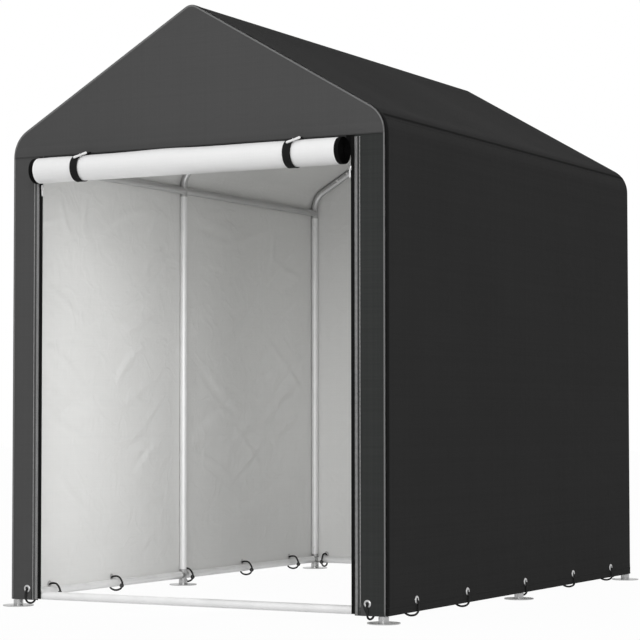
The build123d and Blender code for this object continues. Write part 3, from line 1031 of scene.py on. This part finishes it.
def strap(x):
    """Band carried along the strap's line, thicker at its two woven edges."""
    line = strap_line()
    heading = headings(line)
    normal = np.stack([heading[:, 1], -heading[:, 0]], -1)
    across = np.array([-1, -0.96, -0.86, -0.8, -0.3, 0.3, 0.8, 0.86, 0.96, 1]) * strap_width / 2
    half = np.array([0.35, 0.95, 1.0, 0.72, 0.72, 0.72, 0.72, 1.0, 0.95, 0.35]) * strap_thickness / 2
    around = np.concatenate([across, across[::-1]])
    out = np.concatenate([half, -half[::-1]])
    y = line[:, None, 0] + normal[:, None, 0] * out
    z = line[:, None, 1] + normal[:, None, 1] * out
    points = joined(x + around, y, z)
    uv = joined(lengths_along(line)[:, None], around)
    caps = [points[[end, end]] for end in (0, -1)]
    for cap in caps:
        cap[1] = cap[0].mean(0)
    return [patch(points, uv, (False, True))] + [patch(cap, wrap=(False, True)) for cap in caps]


straps = make_piece("roll_straps", strap(-strap_x) + strap(strap_x), [webbing])
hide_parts("door_straps")

# %% [markdown]
# A toggle is a small moulded bar with a waist. It lies askew on its strap, where this comes over
# the front of the roll, and a white loop of cord round its waist ties it down.

# %% Set the toggles
toggle_radius, toggle_half = 0.0045, 0.023
toggle_waist = 0.72
toggle_shift = 0.018
loop_radius, loop_seat = 0.0011, 0.0010
forward, skew = math.radians(40.0), math.radians(34.0)
toggle_out = np.array([0, -math.sin(forward), math.cos(forward)])
toggle_up = np.array([0, math.cos(forward), math.sin(forward)])
toggle_way = np.array([math.cos(skew), 0, 0]) + math.sin(skew) * toggle_up
toggle_seat = strap_bend + strap_lift + toggle_radius


def toggle_centre(x):
    """Middle of the toggle whose strap stands at x."""
    return np.array([x + toggle_shift, roll_y, roll_z]) + toggle_out * toggle_seat


def toggle(x):
    """Bar turned about its axis: its radius swells to the ends and closes over them."""
    share = np.linspace(-1, 1, 25)
    closing = np.sqrt(1 - 0.9999 * np.abs(share) ** 9)
    swell = toggle_radius * (toggle_waist + (1 - toggle_waist) * np.abs(share) ** 1.5) * closing
    return turned(np.stack([swell, share * toggle_half], -1), toggle_centre(x), toggle_way, 16)


def toggle_loop(x):
    """Ring of cord round the waist: centre + r (cos a * out + sin a * side), long at the strap."""
    turn = full_turn(32)[:, None]
    side_way = np.cross(toggle_way, toggle_out)
    reach = toggle_radius * toggle_waist + loop_seat
    down = np.where(np.cos(turn) < 0, 1.25, 1.0)
    line = toggle_centre(x) + reach * (np.cos(turn) * down * toggle_out + np.sin(turn) * side_way)
    return tube(line, loop_radius, 8, closed=True, finish=1, across=toggle_way)


toggles = make_piece(
    "strap_toggles", [part for x in (-strap_x, strap_x) for part in (toggle(x), toggle_loop(x))],
    [toggle_plastic, white_cord])
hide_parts("door_toggles")

# %% [markdown]
# ## Zips and stitching
#
# Down each side of the doorway runs one half of a zip: a black tape, a row of small moulded
# teeth, and beside them a ribbed cord. Hundreds of teeth are one mesh: a small block of few
# faces, repeated by adding an array of places to an array of corners. At the foot a small
# three-cornered flap of cloth covers the row's end.


# %% Repeat a small shape along a line
def repeated(shape, quads, places, frames, uv_step=0.0, finish=0):
    """Copies of a small shape: place + shape turned by that place's own three directions."""
    points = places[:, None, :] + np.einsum("vk,nkj->nvj", shape, frames)
    faces = quads[None] + np.arange(len(places))[:, None, None] * len(shape)
    uv = np.zeros((len(places), len(shape), 2))
    uv[..., 0] = shape[:, 0] + np.arange(len(places))[:, None] * uv_step
    uv[..., 1] = shape[:, 1]
    finishes = np.full(len(places) * len(quads), finish)
    return points.reshape(-1, 3), faces.reshape(-1, 4), uv.reshape(-1, 2), finishes


def bead(length, width, height):
    """Small rounded bar: four rings of four points, narrow at both ends."""
    ends = np.array([-0.5, -0.3, 0.3, 0.5]) * length
    sizes = np.array([0.45, 1.0, 1.0, 0.45])
    ring = np.array([(-0.5, 0.0), (-0.28, 1.0), (0.28, 1.0), (0.5, 0.0)]) * (width, height)
    points = np.array([(end, size * across, size * up)
                       for end, size in zip(ends, sizes) for across, up in ring])
    sides = [(4 * i + j, 4 * i + 4 + j, 4 * i + 4 + (j + 1) % 4, 4 * i + (j + 1) % 4)
             for i in range(3) for j in range(4)]
    caps = [(0, 1, 2, 3), (15, 14, 13, 12)]
    return points, np.array(sides + caps)


def beads_along(line, pitch, length, width, height, outward, finish=0):
    """Row of beads along a line, each lying along it with its crest outward."""
    even_line = resampled(line, pitch)
    heading = headings(even_line)
    up = np.broadcast_to(np.array(outward, float), heading.shape)
    up = up - heading * np.sum(up * heading, axis=1)[:, None]
    up /= np.linalg.norm(up, axis=1)[:, None]
    frames = np.stack([heading, np.cross(up, heading), up], 1)
    shape, quads = bead(length, width, height)
    return repeated(shape, quads, even_line, frames, pitch, finish)


# %% Sew and fit the zips
tooth_pitch, tooth_size = 0.0032, (0.0022, 0.0112, 0.0018)
rib_pitch, rib_size = 0.0036, (0.0027, 0.0042, 0.0016)
tooth_offset, tooth_lift = 0.0050, 0.0004     # from the strip's edge, and off the front
rib_offset, rib_lift = 0.0172, 0.0010
zip_stop = 0.008                              # the rows end this far below the seam
zip_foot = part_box("right_zip_tape")[0].z
flap_offset, flap_lift = 0.0200, 0.0050
flap_levels = (0.064, 0.040, hem + 0.001)
flap_widths = (0.0006, 0.0100, 0.0200)
zip_parts = []
for side in (-1, 1):
    for offset, lift, pitch, size in ((tooth_offset, tooth_lift, tooth_pitch, tooth_size),
                                      (rib_offset, rib_lift, rib_pitch, rib_size)):
        x, y = side * (strip_edge + offset), front - lift
        row = np.array([(x, y, zip_foot), (x, y, seam - zip_stop)])
        zip_parts.append(beads_along(row, pitch, *size, (0, -1, 0)))
    reach = np.array([np.zeros(3), flap_widths]) + flap_offset
    flap = joined(side * (strip_edge + reach), front - flap_lift, flap_levels)
    zip_parts.append(patch(flap[::side], joined(reach, flap_levels)[::side], finish=1))
make_piece("zip_teeth", zip_parts, [zip_plastic, front_cloth_lit], closed=False)

# %% [markdown]
# Each zip's slider waits at the top, just under the roll. A slider is a short waisted body on the
# tape's edge, and its pull is a flat tab with a rounded end that hangs from it by a small pin.


# %% Hang the zip pulls
def slab(outline, thickness, origin, across, up):
    """Flat piece: an outline in (across, up), as a front and a back ring with smaller outer rings."""
    outline = np.array(outline, float)
    across, up = np.array(across, float), np.array(up, float)
    out = np.cross(up, across)
    middle_point = outline.mean(0)
    rings = []
    for size, height in ((0.0, 0.5), (0.86, 0.5), (1.0, 0.3), (1.0, -0.3), (0.86, -0.5), (0.0, -0.5)):
        flat = middle_point + (outline - middle_point) * size
        rings.append(origin + flat[:, :1] * across + flat[:, 1:] * up + out * thickness * height)
    return patch(np.stack(rings), None, (False, True))


def both_sides(half):
    """Closed outline from its right half, listed from the top down."""
    return half + [(-x, z) for x, z in half[::-1]]


slider_drop = 0.007         # below the roll
slider_inset, slider_lift = 0.0010, 0.0022
body_outline = both_sides(
    [(0.0025, 0.0070), (0.0045, 0.0055), (0.0034, 0.0), (0.0045, -0.0055), (0.0025, -0.0068)])
tab_outline = both_sides(
    [(0.0016, 0.0), (0.0024, -0.008), (0.0034, -0.020), (0.0030, -0.0235), (0.0012, -0.0255)])
pin_profile = [(0.0, -0.0030), (0.0014, -0.0024), (0.0016, 0.0), (0.0014, 0.0024), (0.0, 0.0030)]
tab_lean = (0.03, 0.10)     # sideways and forward, for each metre of drop
pull_parts = []
for side in (-1, 1):
    centre = np.array([side * (doorway - slider_inset), front - slider_lift, roll_low.z - slider_drop])
    hang = np.array([side * tab_lean[0], -tab_lean[1], 1.0]) / np.linalg.norm((*tab_lean, 1.0))
    pull_parts += [slab(body_outline, 0.0044, centre, (1, 0, 0), (0, 0, 1)),
                   slab(tab_outline, 0.0016, centre + (0, -0.0030, -0.0030), (1, 0, 0), hang),
                   turned(pin_profile, centre + (0, -0.0034, -0.0022), (1, 0, 0), 10)]
make_piece("zip_pulls", pull_parts, [pull_metal])

# %% [markdown]
# Rows of lock stitches hold every hem and seam. They are real beads of thread as well, 3 to 4 mm
# long, so that a hem reads as sewn when the shelter is seen from near by.

# %% Stitch the hems and seams
stitch_pitch, stitch_size = 0.0046, (0.0034, 0.0012, 0.0007)
hem_rows = (hem + 0.004, hem + hem_width - 0.005)
eave_row_offset = 0.004
stitch_parts = []


def stitch(start, end, outward):
    """Row of stitches from one point to another, facing outward."""
    stitch_parts.append(beads_along(np.array([start, end]), stitch_pitch, *stitch_size, outward))


for side in (-1, 1):
    x = side * (half_width + hem_lift)
    for z in hem_rows:
        stitch((x, y_start, z), (x, y_end, z), (side, 0, 0))
    for offset in (-eave_row_offset, eave_row_offset):
        s = np.array(eave_seam + offset)
        s = s if side < 0 else section_length - s
        point, normal = on_section(section, s), on_section(section_normal, s)
        stitch((point[0], y_start, point[1]), (point[0], y_end, point[1]), (normal[0], 0, normal[1]))
for y, facing, rows in ((front - gable_lift - hem_lift, -1, (seam + 0.0015,)),
                        (back + hem_lift, 1, hem_rows)):
    for z in rows:
        stitch((-half_width + 0.006, y, z), (half_width - 0.006, y, z), (0, facing, 0))
make_piece("stitching", stitch_parts, [dark_thread])

# %% [markdown]
# ## Eyelets and ties
#
# A two-part eyelet is pressed through the cloth at each tie: a rolled flange outside, a washer
# inside and a barrel between them. Its profile is turned about the eyelet's own axis.

# %% Press in the eyelets
eyelet_z = 0.055
eyelet_profile = np.array([
    (0.0052, -0.0012), (0.0056, -0.0022), (0.0068, -0.0028), (0.0090, -0.0027), (0.0110, -0.0019),
    (0.0121, -0.0006), (0.0121, 0.0002), (0.0075, 0.0003), (0.0066, 0.0008), (0.0066, 0.0018),
    (0.0098, 0.0020), (0.0100, 0.0026), (0.0094, 0.0032), (0.0066, 0.0034), (0.0055, 0.0028),
    (0.0052, 0.0012), (0.0052, -0.0012),
])
walls = {"left": (0, -half_width), "right": (0, half_width), "front": (1, front), "back": (1, back)}
inward = {name: -np.sign(value) * np.eye(3)[axis] for name, (axis, value) in walls.items()}
near_wall, between_eyelets, least_eyelet = 0.004, 0.02, 0.015


def eyelet_places():
    """Point on the outer face at each eyelet of each side, read from the eyelets' own node.

    Near a side's plane, the node's points lie in runs, one run for each eyelet."""
    corners = np.array([vertex.co for vertex in nodes["eyelets"].data.vertices])
    found = {name: [] for name in walls}
    for name, (axis, value) in walls.items():
        along = np.sort(corners[np.abs(corners[:, axis] - value) < near_wall, 1 - axis])
        runs = np.split(along, np.where(np.diff(along) > between_eyelets)[0] + 1)
        for run in runs:
            if run[-1] - run[0] > least_eyelet:
                point = np.array([value, value, eyelet_z])
                point[1 - axis] = (run[0] + run[-1]) / 2
                found[name].append(point)
    return found


places = eyelet_places()
print({name: len(points) for name, points in places.items()})
rings = [turned(eyelet_profile, point, inward[name], 28)
         for name, points in places.items() for point in points]
eyelet_rings = make_piece("eyelet_rings", rings, [eyelet_plate])
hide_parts("eyelets")

# %% [markdown]
# A tie is a loop of elastic with a ball. The loop comes out through the eyelet, hangs down the
# cloth, passes under the hem and round the rail, and its ball rests inside. The elastic is soft,
# so its line is a smooth closed curve through a few points rather than a bent wire.

# %% Loop the elastic ties
tie_radius = 0.0031
tie_inner = 0.0415         # where the loop comes up inside, past the rail
tie_low = 0.0100           # height of its lowest stretch, under the hem
tie_sway = 0.003
ball_radius = 0.0075
ball_drop = 0.008          # below the rail's middle


def smooth_loop(points, count):
    """Closed curve through points, a cubic between each two with slopes from their neighbours."""
    points = np.array(points, float)
    share = np.linspace(0, 1, count, endpoint=False)[:, None]
    before, here, after, later = (np.roll(points, -shift, axis=0) for shift in (-1, 0, 1, 2))
    line = []
    for a, b, c, d in zip(before, here, after, later):
        line.append(0.5 * (2 * b + (c - a) * share + (2 * a - 5 * b + 4 * c - d) * share**2
                           + (3 * b - a - 3 * c + d) * share**3))
    return np.vstack(line)


def tie(point, way, draw):
    """Elastic loop and ball at one eyelet, in the plane of its inward direction and Z."""
    sway = draw.uniform(-tie_sway, tie_sway, 4)
    low = tie_low + draw.uniform(-0.001, 0.001)
    route = [              # (distance inward from the cloth's face, height)
        (0.0005, eyelet_z - 0.0020), (-0.0050, eyelet_z - 0.0060), (-0.0052, 0.036), (-0.0046, 0.022),
        (0.0040, low + 0.003), (0.0200, low), (0.0360, low + 0.005),
        (tie_inner + 0.002, 0.026), (tie_inner, 0.040), (0.0300, 0.0545), (0.0140, 0.0570),
    ]
    across = np.cross(way, (0, 0, 1.0))
    loop = np.array([point * (1, 1, 0) + way * out + (0, 0, z) for out, z in route])
    lean = np.interp(np.arange(len(route)), (2, 5, 8, 10), sway)
    loop = loop + across * (lean * (np.arange(len(route)) > 1))[:, None]
    line = smooth_loop(loop, 6)
    turn = np.linspace(0, math.pi, 13)
    ball = np.stack([ball_radius * np.sin(turn), -ball_radius * np.cos(turn)], -1)
    ball[0, 0] = ball[-1, 0] = 0
    centre = point * (1, 1, 0) + way * (tie_inner + 0.001) + (0, 0, bottom_rail_z - ball_drop)
    return [tube(line, tie_radius, 8, closed=True, across=across),
            turned(ball, centre, (0, 0, 1), 18, finish=1)]


draw = np.random.default_rng(5)
for side_name, points in places.items():
    parts = [part for point in points for part in tie(point, inward[side_name], draw)]
    ties = make_piece(f"{side_name}_elastic_ties", parts, [elastic, ball_plastic])
    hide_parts(f"{side_name}_ties")

# %% [markdown]
# ## Bolts at the tube joints
#
# A pan-head bolt holds each plugged joint of the frame. Each is turned from a short profile.

# %% Bolt the joints
head_profile = [(0.0, 0.0034), (0.0022, 0.0033), (0.0040, 0.0026), (0.0052, 0.0010), (0.0052, -0.0004),
                (0.0, -0.0004)]
tube_radius = 0.0125
tube_inset = half_width - leg_x
tube_eave = eave_height + tube_inset * math.tan(roof_pitch) - tube_inset / math.cos(roof_pitch)
slope = np.array([-math.cos(roof_pitch), math.sin(roof_pitch)])
rafter_bolts = (0.121, 0.171)     # up the slope from the tubes' eave corner
leg_bolts = (0.085, eave_rail_z - 0.050)
bolt_parts = []
for y, facing in zip(frame_y, (1, 1, -1)):
    for side in (-1, 1):
        spots = [np.array([leg_x, tube_eave]) + slope * way_up for way_up in rafter_bolts]
        spots += [(leg_x, z) for z in leg_bolts]
        for x, z in spots:
            centre = (side * x, y + facing * tube_radius, z)
            bolt_parts.append(turned(head_profile, centre, (0, facing, 0), 14))
make_piece("frame_bolts", bolt_parts, [tube_paint])

# %% [markdown]
# ## The pieces that show as the frame made them
#
# Tubes, bends, feet and zip tapes keep their own meshes and only get a finish. They have no UV,
# so the tapes' weave reads Object coordinates, turned to lie in the tapes' upright plane.

# %% A weave for the modelled zip tapes
modelled_tape, tree, shader = new_finish("zip_tape_modelled", roughness=0.8,
                                         specular_ior_level=yarn_gloss)
upright = {"Vector": object_place(tree), "Rotation": (math.radians(90), 0, 0)}
ribs = place_group(tree, yarn_group, {"Place": add_node(tree, "ShaderNodeMapping", upright).outputs[0],
                                      "Along": 0.0010, "Across": 0.0010})["Height"]
feed(tree, shader, base_color=tinted(tree, grey(0.003), grey(0.010), ribs),
     normal=raised(tree, ribs, 0.0001))
print("the tapes' own finish:", modelled_tape.name)


# %% Finish the frame's own pieces
def finish_for(name):
    """Finish of a piece that keeps its own mesh."""
    if name.endswith("_foot"):
        return foot_zinc
    if name.endswith("_zip_tape"):
        return modelled_tape
    # Tubes under the roof take the shaded copy of the paint.
    upper = name.endswith(("_eave_rail", "_rafters", "_bend", "_eave_bends")) or name == "ridge_rail"
    return upper_paint_shaded if upper else tube_paint


kept = {name: node for name, node in nodes.items() if not node.hide_render}
for name, node in kept.items():
    node.data.materials.clear()
    node.data.materials.append(finish_for(name))
print("left as modelled:", len(kept))

# %% [markdown]
# ## Floor, background and light
#
# The shelter stands on a pale floor in soft light from the front. The floor and the world look
# white to the camera through Light Path, so no extra light falls on the shelter itself. Three
# small lamps inside stand for light that the pale room throws in through the doorway.

# %% Lay the floor
floor_reach = 30.0
floor_grey = 0.58
floor_seen = 0.97           # share of plain white that the camera sees, so that shadows stay


def seen_white(tree):
    """1 for what the camera sees, straight or in metal and glass, and 0 for light on a surface."""
    rays = add_node(tree, "ShaderNodeLightPath").outputs
    mirrored = number(tree, "MAXIMUM", rays["Is Glossy Ray"], rays["Is Transmission Ray"])
    return number(tree, "MAXIMUM", rays["Is Camera Ray"], mirrored)


floor_mesh = bpy.data.meshes.new("floor")
floor_corners = [(x * floor_reach, y * floor_reach, 0) for x, y in ((-1, -1), (1, -1), (1, 1), (-1, 1))]
floor_mesh.from_pydata(floor_corners, [], [(0, 1, 2, 3)])
floor = bpy.data.objects.new("floor", floor_mesh)
bpy.context.scene.collection.objects.link(floor)
floor_paint, tree, shader = new_finish("floor_paint", base_color=(*grey(floor_grey), 1), roughness=0.9)
glow = add_node(tree, "ShaderNodeEmission", {"Color": (1, 1, 1, 1), "Strength": 1.0}).outputs[0]
share = number(tree, "MULTIPLY", seen_white(tree), floor_seen)
floor_mix = add_node(tree, "ShaderNodeMixShader", {0: share, 1: shader.outputs[0], 2: glow}).outputs[0]
tree.links.new(floor_mix, tree.nodes["Material Output"].inputs["Surface"])
floor_mesh.materials.append(floor_paint)
print("floor", 2 * floor_reach, "m wide")

# %% Light the room
room_light = 0.87
world = bpy.data.worlds.new("pale_room")
bpy.context.scene.world = world
world.use_nodes = True
sky = world.node_tree
sky.nodes.clear()
lit, white = (add_node(sky, "ShaderNodeBackground", {"Strength": strength}).outputs[0]
              for strength in (room_light, 1.0))
for background in (lit, white):
    background.node.inputs["Color"].default_value = (1, 1, 1, 1)
sky_mix = add_node(sky, "ShaderNodeMixShader", {0: seen_white(sky), 1: lit, 2: white}).outputs[0]
add_node(sky, "ShaderNodeOutputWorld", {"Surface": sky_mix})


def soft_lamp(name, place, target, size, watts):
    """Square area lamp at place, turned to face target."""
    data = bpy.data.lights.new(name, "AREA")
    data.shape, data.size, data.energy = "SQUARE", size, watts
    lamp = bpy.data.objects.new(name, data)
    bpy.context.scene.collection.objects.link(lamp)
    facing = np.array(target, float) - np.array(place, float)
    yaw = math.atan2(facing[1], facing[0]) - math.pi / 2
    rise = math.atan2(facing[2], math.hypot(facing[0], facing[1]))
    lamp.matrix_world = (Matrix.Translation(place) @ Matrix.Rotation(yaw, 4, "Z")
                         @ Matrix.Rotation(math.pi / 2 + rise, 4, "X"))
    print(f"{name}: {watts} W")


soft_lamp("key_light", (2.0, -6.6, 2.6), (0, 0, 0.9), 3.0, 122.0)
soft_lamp("doorway_light", (0.10, front + 0.23, 0.95), (-2.2, -0.1, 1.05), 0.45, 2.1)
soft_lamp("low_light", (0.10, front + 0.23, 0.34), (-2.2, -0.1, 0.30), 0.45, 2.0)
soft_lamp("bay_light", (0.25, 0.48, 0.80), (0.1, 2.0, 0.70), 0.5, 1.4)
